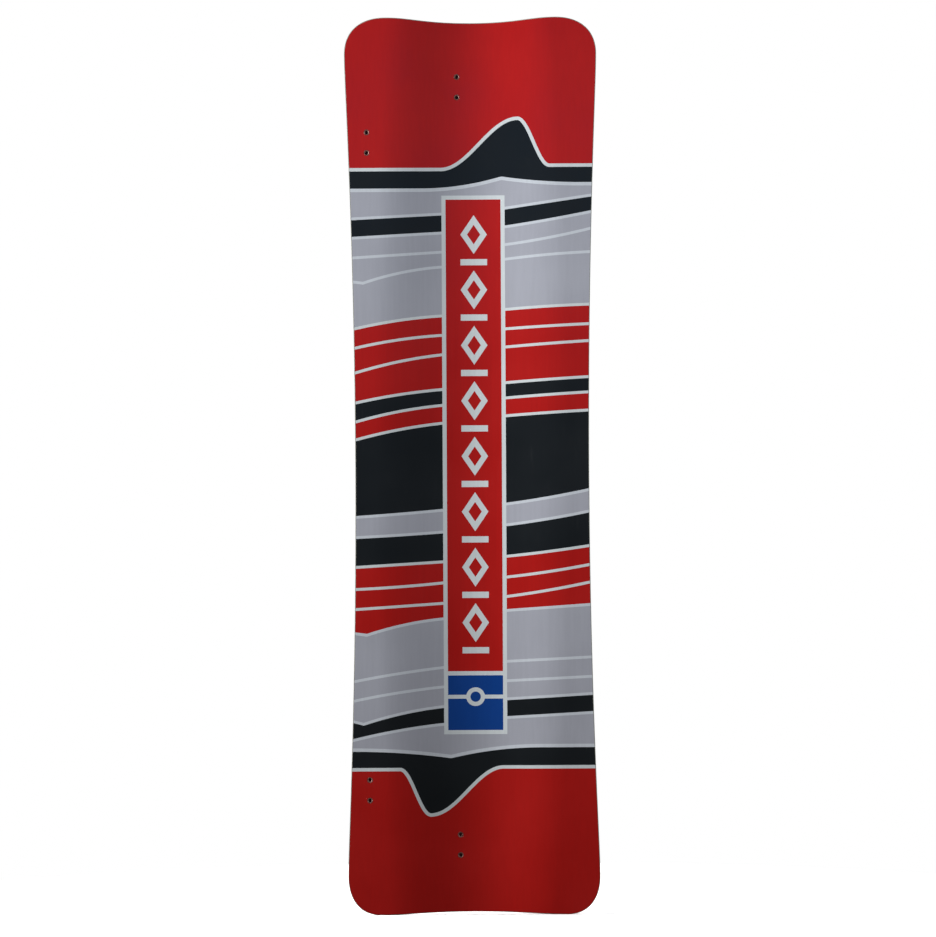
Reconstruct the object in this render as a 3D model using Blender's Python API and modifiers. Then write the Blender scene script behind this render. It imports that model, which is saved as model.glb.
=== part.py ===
"""A bare twin-tip wakeboard: printed sheets, glass laminates, a wood-strip core, plastic rails,
threaded binding inserts and flanged fin bushes, each as its own solid.

The frame is in metres. The board stands on its tail: +Z runs from tail to nose, +X across it, and
the printed base faces -Y. The origin is the middle of the board, on the base surface.
"""

import math

import bmesh
import bpy
import numpy as np
from mathutils import Matrix, Vector

MM = 0.001

# The outline, seen square to the base.
LENGTH = 1390 * MM
TIP_WIDTH = 390 * MM
WAIST_WIDTH = 360 * MM
# Each end: how far its corners reach across and along the board, and how far the tip dips between them.
NOSE = {"sign": 1, "across": 63 * MM, "along": 57 * MM, "dip": 9 * MM}
TAIL = {"sign": -1, "across": 50 * MM, "along": 60 * MM, "dip": 4.5 * MM}
# How far each curve's handles reach, as a share of the stretch that they shape.
CORNER_FULLNESS = 0.62
PEAK_FULLNESS = 0.3
DIP_FULLNESS = 0.55
SIDE_FULLNESS = 0.08
WAIST_FULLNESS = 0.52
OUTLINE_STEPS = 7

# The section: a shallow channel runs down the base, and the board bends up and thins towards its tips.
CHANNEL_DEPTH = 7 * MM
CHANNEL_WIDTH = 270 * MM
ROCKER = 45 * MM
THICKNESS_MIDDLE = 12 * MM
THICKNESS_TIP = 8 * MM

# The layers, from either face inwards. A glue line of this thickness parts every two neighbours.
GLUE = 0.3 * MM
SHEET = 0.6 * MM
LAMINATE = 0.8 * MM
LAMINATE_DEPTH = SHEET + GLUE
CORE_DEPTH = LAMINATE_DEPTH + LAMINATE + GLUE
RAIL_WIDTH = 10 * MM
# How far each layer's edge stands in from the outline: the deck side is bevelled.
BASE_SHEET_INSET = 1 * MM
DECK_LAMINATE_INSET = 2 * MM
DECK_SHEET_INSET = 3.5 * MM

# The board's faces are flat facets on a grid. Its columns are the strips of the core: a wide one in
# the middle, and equal ones beside it, the outermost trimmed by the rail.
CENTRE_STRIP = 56 * MM
SIDE_STRIP = 40 * MM
SIDE_STRIPS = 4
ROWS = 19
ROW_PITCH = LENGTH / ROWS
OVERHANG = 5 * MM

# Fin bushes, blind and threaded: two in line for each fin, one fin by the left edge and one near the
# middle at each end.
FIN_PITCH = 31.75 * MM
FINS = {"edge": (-160.5 * MM, 500 * MM), "centre": (-21 * MM, 586 * MM)}
BUSH_BORE = 2.6 * MM
BUSH_SLEEVE = 3.5 * MM
BUSH_FLANGE = 4.2 * MM
BUSH_DEPTH = 6 * MM

# Binding inserts: two rows of four for each foot.
INSERT_ROW_SPACING = 152.4 * MM
INSERT_PITCH = 25.4 * MM
INSERTS_IN_ROW = 4
STANCE = 558.8 * MM
INSERT_THREAD = 2.5 * MM
INSERT_BODY = 4.8 * MM
INSERT_FLANGE = 6.5 * MM
INSERT_DEPTH = 8 * MM

# The closed end of every bush and insert.
HARDWARE_FLOOR = 1 * MM

TURNED_STEPS = 12


def clear_scene():
    for obj in list(bpy.data.objects):
        bpy.data.objects.remove(obj, do_unlink=True)


def new_collection(name):
    collection = bpy.data.collections.new(name)
    bpy.context.scene.collection.children.link(collection)
    return collection


def material(name, color, roughness, metallic=0.0):
    made = bpy.data.materials.new(name)
    made.use_nodes = True
    shader = made.node_tree.nodes["Principled BSDF"]
    shader.inputs["Base Color"].default_value = (*color, 1.0)
    shader.inputs["Roughness"].default_value = roughness
    shader.inputs["Metallic"].default_value = metallic
    return made


# --- The board's surfaces ---------------------------------------------------------------------


def column_lines():
    right = [CENTRE_STRIP / 2 + i * SIDE_STRIP for i in range(SIDE_STRIPS)]
    right.append(TIP_WIDTH / 2 + OVERHANG)
    return [-x for x in reversed(right)] + right


def row_lines():
    lines = [(i - ROWS / 2) * ROW_PITCH for i in range(ROWS + 1)]
    return [lines[0] - OVERHANG, *lines[1:-1], lines[-1] + OVERHANG]


def channel(x):
    """How far the base stands out (-Y) at x: flat over the centre strip, and full beyond the channel."""

    def fall(reach):
        return (1 - math.cos(math.pi * min(1.0, reach / (CHANNEL_WIDTH / 2)))) / 2

    at_strip = fall(CENTRE_STRIP / 2)
    return -CHANNEL_DEPTH * max(0.0, fall(abs(x)) - at_strip) / (1 - at_strip)


def bend(z):
    """How far the tips curve back (+Y) at z: nothing over the middle row of facets."""
    flat = ROW_PITCH / 2
    return ROCKER * (max(0.0, abs(z) - flat) / (LENGTH / 2 - flat)) ** 2


def taper(z):
    return THICKNESS_MIDDLE - (THICKNESS_MIDDLE - THICKNESS_TIP) * (2 * z / LENGTH) ** 2


COLUMN_LINES = column_lines()
ROW_LINES = row_lines()
CHANNEL_AT_LINES = [channel(x) for x in COLUMN_LINES]
BEND_AT_LINES = [bend(z) for z in ROW_LINES]
TAPER_AT_LINES = [taper(z) for z in ROW_LINES]


def base_y(x, z):
    """The base surface, straight between the grid's lines. The sum of a function of x and one of z
    has a flat facet in each cell of the grid."""
    across = np.interp(x, COLUMN_LINES, CHANNEL_AT_LINES)
    return float(across + np.interp(z, ROW_LINES, BEND_AT_LINES))


def thickness(z):
    return float(np.interp(z, ROW_LINES, TAPER_AT_LINES))


def under_base(depth):
    """The surface this far into the board from its base."""
    return lambda x, z: base_y(x, z) + depth


def under_deck(depth):
    """The surface this far into the board from its deck."""
    return lambda x, z: base_y(x, z) + thickness(z) - depth


def slab(name, x_lines, near, far):
    """A closed sheet between two surfaces, near the base and far from it, with an edge at every grid line."""
    mesh_edit = bmesh.new()
    columns, rows = len(x_lines) - 1, len(ROW_LINES) - 1
    bmesh.ops.create_grid(mesh_edit, x_segments=columns, y_segments=rows, size=0.5)
    near_verts = list(mesh_edit.verts)
    lifted = bmesh.ops.extrude_face_region(mesh_edit, geom=list(mesh_edit.faces))
    far_verts = [item for item in lifted["geom"] if isinstance(item, bmesh.types.BMVert)]
    for verts, surface in ((near_verts, near), (far_verts, far)):
        for vert in verts:
            x = x_lines[round((vert.co.x + 0.5) * columns)]
            z = ROW_LINES[round((vert.co.y + 0.5) * rows)]
            vert.co = (x, surface(x, z), z)
    bmesh.ops.recalc_face_normals(mesh_edit, faces=mesh_edit.faces)
    mesh = bpy.data.meshes.new(name)
    mesh_edit.to_mesh(mesh)
    mesh_edit.free()
    return bpy.data.objects.new(name, mesh)


# --- The outline ------------------------------------------------------------------------------


def outline_points(inset):
    """(point, handle before, handle after) round the outline, clockwise from the middle of the nose.

    An inset moves the sides and tips in, but not the heights and widths at which the corners start."""
    half_tip = TIP_WIDTH / 2 - inset

    def right_half_end(end):
        tip = end["sign"] * (LENGTH / 2 - inset)
        side = end["sign"] * (LENGTH / 2 - end["along"])
        peak = TIP_WIDTH / 2 - end["across"]
        middle = Vector((0, tip - end["sign"] * end["dip"]))
        corner_start = Vector((peak, tip))
        corner_end = Vector((half_tip, side))
        into_dip = Vector((DIP_FULLNESS * peak, 0))
        onto_peak = Vector((PEAK_FULLNESS * peak, 0))
        across_corner = Vector((CORNER_FULLNESS * (half_tip - peak), 0))
        along_corner = Vector((0, CORNER_FULLNESS * (tip - side)))
        down_side = Vector((0, SIDE_FULLNESS * side))
        return [
            (middle, middle - into_dip, middle + into_dip),
            (corner_start, corner_start - onto_peak, corner_start + across_corner),
            (corner_end, corner_end + along_corner, corner_end - down_side),
        ]

    nose = right_half_end(NOSE)
    tail = [(point, after, before) for point, before, after in reversed(right_half_end(TAIL))]
    waist = Vector((WAIST_WIDTH / 2 - inset, 0))
    waist_handle = Vector((0, WAIST_FULLNESS * LENGTH / 2))
    right = [*nose, (waist, waist + waist_handle, waist - waist_handle), *tail]
    mirror = Vector((-1, 1))
    left = [
        (point * mirror, after * mirror, before * mirror)
        for point, before, after in reversed(right[1:-1])
    ]
    return right + left


def outline_prism(name, inset, collection):
    """The outline as a closed bar along Y, long enough to pass through the whole board."""
    curve = bpy.data.curves.new(name, "CURVE")
    curve.dimensions = "2D"
    curve.fill_mode = "BOTH"
    curve.resolution_u = OUTLINE_STEPS
    curve.extrude = 2 * ROCKER
    points = outline_points(inset)
    spline = curve.splines.new("BEZIER")
    spline.bezier_points.add(len(points) - 1)
    for control, (point, before, after) in zip(spline.bezier_points, points):
        control.co = (*point, 0)
        control.handle_left = (*before, 0)
        control.handle_right = (*after, 0)
    spline.use_cyclic_u = True
    bar = bpy.data.objects.new(name + "_curve", curve)
    bar.rotation_euler = (math.pi / 2, 0, 0)
    collection.objects.link(bar)
    bpy.context.view_layer.update()
    graph = bpy.context.evaluated_depsgraph_get()
    mesh = bpy.data.meshes.new_from_object(bar.evaluated_get(graph))
    cap_edit = bmesh.new()
    cap_edit.from_mesh(mesh)
    bmesh.ops.remove_doubles(cap_edit, verts=cap_edit.verts, dist=0.01 * MM)
    bmesh.ops.recalc_face_normals(cap_edit, faces=cap_edit.faces)
    cap_edit.to_mesh(mesh)
    cap_edit.free()
    prism = bpy.data.objects.new(name, mesh)
    prism.matrix_world = bar.matrix_world.copy()
    bpy.data.objects.remove(bar)
    collection.objects.link(prism)
    return as_cutter(prism)


def as_cutter(obj):
    obj.hide_render = True
    obj.display_type = "WIRE"
    return obj


def boolean(obj, operation, tool):
    modifier = obj.modifiers.new(operation.lower(), "BOOLEAN")
    modifier.operation = operation
    modifier.solver = "EXACT"
    if isinstance(tool, bpy.types.Collection):
        modifier.operand_type = "COLLECTION"
        modifier.collection = tool
    else:
        modifier.object = tool


def finish(obj, collection, look):
    collection.objects.link(obj)
    obj.data.materials.append(look)
    return obj


# --- Hardware ---------------------------------------------------------------------------------


def seat(surface, x, z, outward):
    """A frame on a surface at (x, z), its Z axis along the normal on the side that outward (+1 or -1) gives in Y."""
    step = MM
    slope_x = (surface(x + step, z) - surface(x - step, z)) / (2 * step)
    slope_z = (surface(x, z + step) - surface(x, z - step)) / (2 * step)
    normal = outward * Vector((-slope_x, 1, -slope_z)).normalized()
    turn = normal.to_track_quat("Z", "X").to_matrix().to_4x4()
    return Matrix.Translation((x, surface(x, z), z)) @ turn


def blind_insert(name, bore, body, flange, depth, place):
    """A turned cup with a flange at its mouth. It lies along the place's Z axis, its mouth at the origin."""
    floor = HARDWARE_FLOOR - depth
    profile = [
        (0, floor),
        (bore, floor),
        (bore, 0),
        (flange, 0),
        (flange, -SHEET),
        (body, -SHEET),
        (body, -depth),
        (0, -depth),
    ]
    mesh = bpy.data.meshes.new(name)
    edges = [(i, i + 1) for i in range(len(profile) - 1)]
    mesh.from_pydata([(radius, 0, height) for radius, height in profile], edges, [])
    obj = bpy.data.objects.new(name, mesh)
    obj.matrix_world = place
    screw = obj.modifiers.new("turn", "SCREW")
    screw.axis = "Z"
    screw.steps = TURNED_STEPS
    screw.render_steps = TURNED_STEPS
    screw.use_merge_vertices = True
    screw.merge_threshold = 0.01 * MM
    return obj


def drill(name, radius, bottom, place, collection):
    """A cutter: a bar of this radius from bottom out past the surface, along the frame's Z axis."""
    bar_edit = bmesh.new()
    bmesh.ops.create_cone(
        bar_edit,
        cap_ends=True,
        segments=TURNED_STEPS,
        radius1=radius,
        radius2=radius,
        depth=OVERHANG - bottom,
        matrix=Matrix.Translation((0, 0, (OVERHANG + bottom) / 2)),
    )
    mesh = bpy.data.meshes.new(name)
    bar_edit.to_mesh(mesh)
    bar_edit.free()
    bar = bpy.data.objects.new(name, mesh)
    bar.matrix_world = place
    collection.objects.link(bar)
    return as_cutter(bar)


def fin_bushes(parts, holes, look):
    """A blind bush let into the base at every fin screw. Each flange is flush with the base sheet."""
    for end in (NOSE, TAIL):
        end_name = "nose" if end is NOSE else "tail"
        for fin, (x, from_middle) in FINS.items():
            for number, offset in ((1, -FIN_PITCH / 2), (2, FIN_PITCH / 2)):
                z = end["sign"] * (from_middle + offset)
                place = seat(base_y, x, z, -1)
                name = f"fin_bush_{end_name}_{fin}_{number}"
                bush = blind_insert(name, BUSH_BORE, BUSH_SLEEVE, BUSH_FLANGE, BUSH_DEPTH, place)
                finish(bush, parts, look)
                blind = -BUSH_DEPTH - GLUE
                drill(f"inside_{name}", BUSH_SLEEVE + GLUE, blind, place, holes["inside"])
                drill(f"base_{name}", BUSH_FLANGE + GLUE, -CORE_DEPTH, place, holes["base"])


def binding_inserts(parts, holes, look):
    """Blind threaded inserts let into the deck. Each flange is flush with the deck sheet."""
    for end in (NOSE, TAIL):
        end_name = "nose" if end is NOSE else "tail"
        for side, side_name in ((-1, "left"), (1, "right")):
            for number in range(INSERTS_IN_ROW):
                along = (number - (INSERTS_IN_ROW - 1) / 2) * INSERT_PITCH
                z = end["sign"] * (STANCE / 2 + along)
                place = seat(under_deck(0), side * INSERT_ROW_SPACING / 2, z, 1)
                name = f"insert_{end_name}_{side_name}_{number + 1}"
                insert = blind_insert(
                    name, INSERT_THREAD, INSERT_BODY, INSERT_FLANGE, INSERT_DEPTH, place
                )
                finish(insert, parts, look)
                blind = -INSERT_DEPTH - GLUE
                drill(f"inside_{name}", INSERT_BODY + GLUE, blind, place, holes["inside"])
                drill(f"deck_{name}", INSERT_FLANGE + GLUE, -CORE_DEPTH, place, holes["deck"])


# --- The board --------------------------------------------------------------------------------


def face_layers(parts, cutters, holes, looks):
    """The two printed sheets and the glass laminates under them, each cut to its own outline."""
    layers = (
        ("base_sheet", under_base(0), under_base(SHEET), BASE_SHEET_INSET, "base", "print"),
        (
            "base_laminate",
            under_base(LAMINATE_DEPTH),
            under_base(LAMINATE_DEPTH + LAMINATE),
            0,
            "inside",
            "glass",
        ),
        (
            "deck_laminate",
            under_deck(LAMINATE_DEPTH + LAMINATE),
            under_deck(LAMINATE_DEPTH),
            DECK_LAMINATE_INSET,
            "inside",
            "glass",
        ),
        ("deck_sheet", under_deck(SHEET), under_deck(0), DECK_SHEET_INSET, "deck", "deck"),
    )
    for name, near, far, inset, drilled, look in layers:
        layer = slab(name, COLUMN_LINES, near, far)
        boolean(layer, "INTERSECT", outline_prism(name + "_outline", inset, cutters))
        boolean(layer, "DIFFERENCE", holes[drilled])
        finish(layer, parts, looks[look])


def rails(parts, cutters, looks):
    """Two plastic edge strips round the core, butted together at the middle of each tip."""
    outer = outline_prism("rail_outer", 0, cutters)
    inner = outline_prism("rail_inner", RAIL_WIDTH, cutters)
    half = [line for line in COLUMN_LINES if line > 0]
    right = [GLUE / 2, *half]
    left = [-line for line in reversed(right)]
    for name, lines in (("rail_left", left), ("rail_right", right)):
        rail = slab(name, lines, under_base(CORE_DEPTH), under_deck(CORE_DEPTH))
        boolean(rail, "INTERSECT", outer)
        boolean(rail, "DIFFERENCE", inner)
        finish(rail, parts, looks["rail"])


def core_strips(parts, cutters, holes, looks):
    """Strips of wood glued side by side, cut to fit inside the rails and drilled for the hardware."""
    inside = outline_prism("core_outline", RAIL_WIDTH + GLUE, cutters)
    for number, (left, right) in enumerate(zip(COLUMN_LINES, COLUMN_LINES[1:]), 1):
        lines = [left + GLUE / 2, right - GLUE / 2]
        strip = slab(f"core_strip_{number}", lines, under_base(CORE_DEPTH), under_deck(CORE_DEPTH))
        boolean(strip, "INTERSECT", inside)
        boolean(strip, "DIFFERENCE", holes)
        finish(strip, parts, looks["wood_pale" if number % 2 else "wood_dark"])


def build():
    clear_scene()
    parts = new_collection("wakeboard")
    cutters = new_collection("cutters")
    holes = {layer: new_collection(f"{layer}_holes") for layer in ("base", "inside", "deck")}
    looks = {
        "print": material("printed_base_film", (0.37, 0.014, 0.018), 0.35),
        "deck": material("deck_film", (0.42, 0.43, 0.47), 0.45),
        "glass": material("glass_laminate", (0.55, 0.58, 0.46), 0.4),
        "rail": material("rail_plastic", (0.62, 0.63, 0.64), 0.45),
        "wood_pale": material("core_wood_pale", (0.62, 0.43, 0.24), 0.7),
        "wood_dark": material("core_wood_dark", (0.5, 0.31, 0.15), 0.7),
    }
    fin_bushes(parts, holes, material("bush_nickel", (0.66, 0.64, 0.6), 0.3, 1.0))
    binding_inserts(parts, holes, material("insert_steel", (0.6, 0.6, 0.61), 0.3, 1.0))
    face_layers(parts, cutters, holes, looks)
    rails(parts, cutters, looks)
    core_strips(parts, cutters, holes["inside"], looks)


build()
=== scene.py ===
"""The looks of a bare twin-tip wakeboard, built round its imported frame.

Everything is in metres in the board's own frame: +X across it, +Z from tail to nose, the printed
base faces -Y and the deck faces +Y. Each layer of the board is drawn flat, seen from the base, as
a mesh that follows every edge of its print, and is then lifted onto the board's curved surface.
"""

import math

import bmesh
import bpy
import numpy as np
from mathutils import Matrix, Vector
from mathutils.geometry import delaunay_2d_cdt

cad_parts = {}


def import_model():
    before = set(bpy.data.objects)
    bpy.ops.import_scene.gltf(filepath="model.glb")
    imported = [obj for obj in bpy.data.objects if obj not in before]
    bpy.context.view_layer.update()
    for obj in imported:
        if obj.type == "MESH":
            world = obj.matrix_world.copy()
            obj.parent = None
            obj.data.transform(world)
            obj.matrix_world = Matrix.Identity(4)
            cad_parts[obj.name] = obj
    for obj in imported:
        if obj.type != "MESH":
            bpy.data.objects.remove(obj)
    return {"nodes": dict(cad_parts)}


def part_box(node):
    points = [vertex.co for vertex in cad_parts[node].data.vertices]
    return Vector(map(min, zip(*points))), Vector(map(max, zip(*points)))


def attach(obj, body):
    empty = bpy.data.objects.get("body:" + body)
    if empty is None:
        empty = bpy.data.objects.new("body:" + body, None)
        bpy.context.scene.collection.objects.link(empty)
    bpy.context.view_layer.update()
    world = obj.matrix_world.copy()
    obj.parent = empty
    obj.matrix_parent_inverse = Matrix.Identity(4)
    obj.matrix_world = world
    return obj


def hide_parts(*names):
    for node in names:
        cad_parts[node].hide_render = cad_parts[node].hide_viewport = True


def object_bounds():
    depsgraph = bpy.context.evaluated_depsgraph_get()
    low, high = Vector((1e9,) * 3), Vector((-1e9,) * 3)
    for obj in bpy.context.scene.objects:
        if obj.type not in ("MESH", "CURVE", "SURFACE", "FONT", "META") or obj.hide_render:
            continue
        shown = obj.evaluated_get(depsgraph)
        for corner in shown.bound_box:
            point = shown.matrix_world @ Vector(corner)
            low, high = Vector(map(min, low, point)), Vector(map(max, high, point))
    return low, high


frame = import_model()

CAD_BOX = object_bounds()
ROOT = "root"
MM = 0.001

# --- The board's sizes --------------------------------------------------------------------------

HALF_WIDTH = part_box("base_laminate")[1].x
HALF_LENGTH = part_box("base_laminate")[1].z
HALF_WAIST = 180 * MM
# Each end: how far its rounded corners reach across and along the board, and how deep it dips
# between them. A fullness is how far a curve's handle reaches along its stretch of the outline.
NOSE = {"sign": 1, "across": 63 * MM, "along": 57 * MM, "dip": 9 * MM}
TAIL = {"sign": -1, "across": 50 * MM, "along": 60 * MM, "dip": 4.5 * MM}
CORNER_FULLNESS = 0.62
PEAK_FULLNESS = 0.3
DIP_FULLNESS = 0.55
SIDE_FULLNESS = 0.08
WAIST_FULLNESS = 0.52
OUTLINE_STEPS = 24

CHANNEL_DEPTH = 7 * MM
CHANNEL_EDGE_MIDDLE = 150 * MM
CHANNEL_EDGE_TIP = 128 * MM
# The board bends up by the rocker at its tips, from a flat stretch in its middle.
ROCKER = 45 * MM
ROCKER_FLAT = 36.6 * MM
THICKNESS_MIDDLE = 12 * MM
THICKNESS_TIP = 8 * MM

# The layers' thicknesses, how deep the laminates and the core lie, and how far in layers start.
GLUE = 0.3 * MM
SHEET = 0.6 * MM
LAMINATE = 0.8 * MM
LAMINATE_DEPTH = SHEET + GLUE
CORE_DEPTH = LAMINATE_DEPTH + LAMINATE + GLUE
BASE_SHEET_INSET = 1 * MM
DECK_LAMINATE_INSET = 2 * MM
DECK_SHEET_INSET = 3.5 * MM

# A rail is rounded towards the base and bevelled towards the deck. A share is of its thickness.
RAIL_WIDTH = 10 * MM
RAIL_ROUND = 0.8 * MM
RAIL_ROUND_SHARE = 0.1
RAIL_ROUND_STEPS = 5
RAIL_BEVEL = ((0, 0.55), (0.25 * MM, 0.68), (0.9 * MM, 0.86), (1.6 * MM, 1))

FIN_BUSHES = sorted(name for name in frame["nodes"] if name.startswith("fin_bush"))
INSERTS = sorted(name for name in frame["nodes"] if name.startswith("insert"))
CORE_STRIPS = sorted(name for name in frame["nodes"] if name.startswith("core_strip"))
# Radii and depths of the hardware, and the thickness of its closed end.
BUSH_BORE = 2.6 * MM
BUSH_SLEEVE = 3.5 * MM
BUSH_FLANGE = 4.2 * MM
BUSH_DEPTH = 6 * MM
INSERT_THREAD = 2.5 * MM
INSERT_BODY = 4.8 * MM
INSERT_FLANGE = 6.5 * MM
INSERT_DEPTH = 8 * MM
HARDWARE_FLOOR = 1 * MM
FLANGE_EASE = 0.2 * MM
BORE_MOUTH = 0.7 * MM
THREAD_PITCH = 1 * MM
THREAD_DEPTH = 0.45 * MM
# One turn of the thread: how far into the wall, and the share of the pitch.
THREAD_TURN = ((0, 0.1), (THREAD_DEPTH, 0.5), (0, 0.9))

# --- The print on the base ------------------------------------------------------------------------
# A line is (ink, height at its left end, height at its right end, bow, kink). The bow lifts its
# middle. A kink is the (x, z) where the line turns and runs straight on to the board's edge. Lines
# are listed from the nose down. Everything is in millimetres from the board's middle.

# The left lines lie between PRINT_LEFT and PANEL_LEFT, the right ones between the other two.
PRINT_LEFT = -183
PANEL_LEFT = -45.5
PANEL_RIGHT = 52
PRINT_RIGHT = 186
LINE_WIDTH = 4.3

LEFT_LINES = (
    ("pale", 382, 389, 0, None),
    ("pale", 352, 359.5, 0, None),
    ("pale", 321.5, 330, 0, None),
    ("pale", 284.5, 307, 4, (-167, 282.5)),
    ("white", 211.5, 231.5, 3, None),
    ("white", 181.5, 201.5, 3, None),
    ("white", 143, 171.5, 3.5, None),
    ("white", 97, 118, 2.5, None),
    ("white", 67.5, 93.5, 3.5, None),
    ("white", 40, 66, 3, None),
    ("pale", -78.5, -68, -0.5, None),
    ("pale", -109.5, -101.5, -0.5, None),
    ("white", -155.5, -147.5, 0, None),
    ("white", -189.5, -180, -1, None),
    ("white", -220.5, -211.5, 0, None),
    ("pale", -257.5, -235.5, 3.5, (-163.5, -260)),
    ("pale", -331.5, -310.5, 1.5, None),
    ("pale", -361.5, -340.5, 2, None),
    ("pale", -394, -371, 3.5, (-169.5, -397.5)),
    ("pale", -422, -398.5, 2.5, None),
)
RIGHT_LINES = (
    ("pale", 397.5, 417, 0, None),
    ("pale", 368.5, 391.5, -1, None),
    ("pale", 341, 366, -2, None),
    ("pale", 318.5, 329.5, 1.5, None),
    ("white", 241, 248.5, 1, None),
    ("white", 211, 218.5, 0.5, None),
    ("white", 183, 192.5, 0.5, None),
    ("white", 128, 137, 0.5, None),
    ("white", 104.5, 113.5, 0.5, None),
    ("white", 77, 85.5, 0.5, None),
    ("pale", -59, -36, -1.5, None),
    ("pale", -91, -69, -1.5, None),
    ("white", -139.5, -122.5, -1, None),
    ("white", -171.5, -151.5, -1.5, None),
    ("white", -201.5, -178.5, -1.5, None),
    ("pale", -223, -214, 0, None),
    ("pale", -301.5, -295, 0, None),
    ("pale", -331.5, -325, 0, None),
    ("pale", -359.5, -351.5, 0, None),
    ("pale", -388.5, -381, 0, None),
)
# The fields above, between and below the lines, on both sides.
FIELDS = (
    "grey", "dark", "grey", "grey", "grey", "red", "red", "red", "dark", "red", "dark",
    "grey", "dark", "red", "red", "red", "grey", "grey", "grey", "dark", "grey",
)

# The panel: its frame's outer top and bottom, the frame's width, and the bar between its fields.
PANEL_TOP = 417.5
PANEL_BOTTOM = -414
PANEL_FRAME = 6.3
PANEL_BAR_TOP = -316.5
PANEL_BAR_BOTTOM = -323

# The marks down the panel: open lozenges, each with a bar under it.
MARK_X = 4
MARK_TOP = 357
MARK_PITCH = 85.5
MARK_COUNT = 8
MARK_HALF_WIDTH = 20.5
LOZENGE_HALF_HEIGHT = 30
LOZENGE_HOLE = 0.5
BAR_DROP = 42.7
BAR_HALF_HEIGHT = 4.8
BADGE_Z = -356
BADGE_RADIUS = 14.5
BADGE_HOLE = 8
BADGE_BAR = 3

# The bands at nose and tail. Each has a hill in its outer edge and a sharp peak in its inner one,
# given by the x of the top, the reach to its left and right, and the line's levels beyond them.
NOSE_HILL = {"x": 72, "height": 75, "left": 118, "right": 50, "levels": (458, 463.5)}
NOSE_PEAK = {"x": 47, "top": 444, "left": 125, "right": 125, "levels": (426, 434.5)}
TAIL_HILL = {"x": -66, "height": -72, "left": 48, "right": 112, "levels": (-468, -465)}
TAIL_PEAK = {"x": -35, "top": -448.5, "left": 150, "right": 140, "levels": (-437.5, -432)}
BAND_LINE = 5.3

# The deck's print: straight lines, mirrored from nose to tail.
DECK_LINES = ((455, "white"), (420, "white"), (205, "pale"), (193, "pale"))
DECK_FIELDS = ("red", "dark", "grey", "grey", "dark")

# How much further a line beside the panel runs, to pass the board's edge, and how far from the
# middle a whole line reaches.
PAST_EDGE = 12
LINE_REACH = 210

INKS = ("red", "dark", "grey", "pale", "white", "blue")

# --- The meshes' fineness -------------------------------------------------------------------------
# The first two steps are in millimetres, as the print is, and the SMOOTH angles in degrees.

ARTWORK_STEP = 3
HILL_STEP = 1.5
GRID_ACROSS = 8 * MM
GRID_ALONG = 16 * MM
HOLE_STEPS = 40
TURNED_STEPS = 48
SLOPE_STEP = 0.5 * MM
SAME_POINT = 1e-7
NO_LENGTH = 1e-12
SMOOTH_WALL = 20
SMOOTH_RAIL = 35
SMOOTH_TURNED = 30

# --- Looks and studio -----------------------------------------------------------------------------

# The range that holds nearly all of a noise's values.
NOISE_RANGE = (0.3, 0.7)
WEAVE_PITCH = 1.6 * MM

FLOOR_RADIUS = 1.1
FLOOR_THICKNESS = 0.02
FLOOR_STEPS = 128
AMBIENT = 0.04
SKY_TINT = (0.2, 0.5, 1)

# The camera looks at (x, z), a little off the board's middle, and the picture is slightly taller
# than the board.
LENS = 200
SENSOR = 36
VIEW_X = -6.6 * MM
VIEW_Z = -3.9 * MM
VIEW_HEIGHT = 1.0446 * 2 * HALF_LENGTH
VIEW_ROLL = math.radians(0.31)


# --- The board's surfaces -------------------------------------------------------------------------


def base_y(x, z):
    """The base surface over arrays of x and z: hollowed along its middle, bent up at both tips."""
    edge = CHANNEL_EDGE_MIDDLE - (CHANNEL_EDGE_MIDDLE - CHANNEL_EDGE_TIP) * (z / HALF_LENGTH) ** 2
    reach = np.minimum(np.abs(x) / edge, 1)
    channel = -CHANNEL_DEPTH * (1 - np.cos(np.pi * reach)) / 2
    past_flat = np.maximum(np.abs(z) - ROCKER_FLAT, 0) / (HALF_LENGTH - ROCKER_FLAT)
    return channel + ROCKER * past_flat**2


def thickness(z):
    return THICKNESS_MIDDLE - (THICKNESS_MIDDLE - THICKNESS_TIP) * (z / HALF_LENGTH) ** 2


def under_base(depth):
    return lambda x, z: base_y(x, z) + depth


def under_deck(depth):
    return lambda x, z: base_y(x, z) + thickness(z) - depth


def unit(vectors):
    return vectors / np.maximum(np.linalg.norm(vectors, axis=1, keepdims=True), NO_LENGTH)


def surface_normals(surface, x, z):
    """Unit normals of a surface, on the side that faces +Y."""
    step = SLOPE_STEP
    slope_x = (surface(x + step, z) - surface(x - step, z)) / (2 * step)
    slope_z = (surface(x, z + step) - surface(x, z - step)) / (2 * step)
    return unit(np.stack([-slope_x, np.ones_like(slope_x), -slope_z], axis=1))


def bezier(start, start_handle, end_handle, end):
    """Points along a cubic curve, without its end."""
    t = np.linspace(0, 1, OUTLINE_STEPS, endpoint=False)[:, None]
    return (
        (1 - t) ** 3 * start
        + 3 * (1 - t) ** 2 * t * start_handle
        + 3 * (1 - t) * t**2 * end_handle
        + t**3 * end
    )


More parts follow.
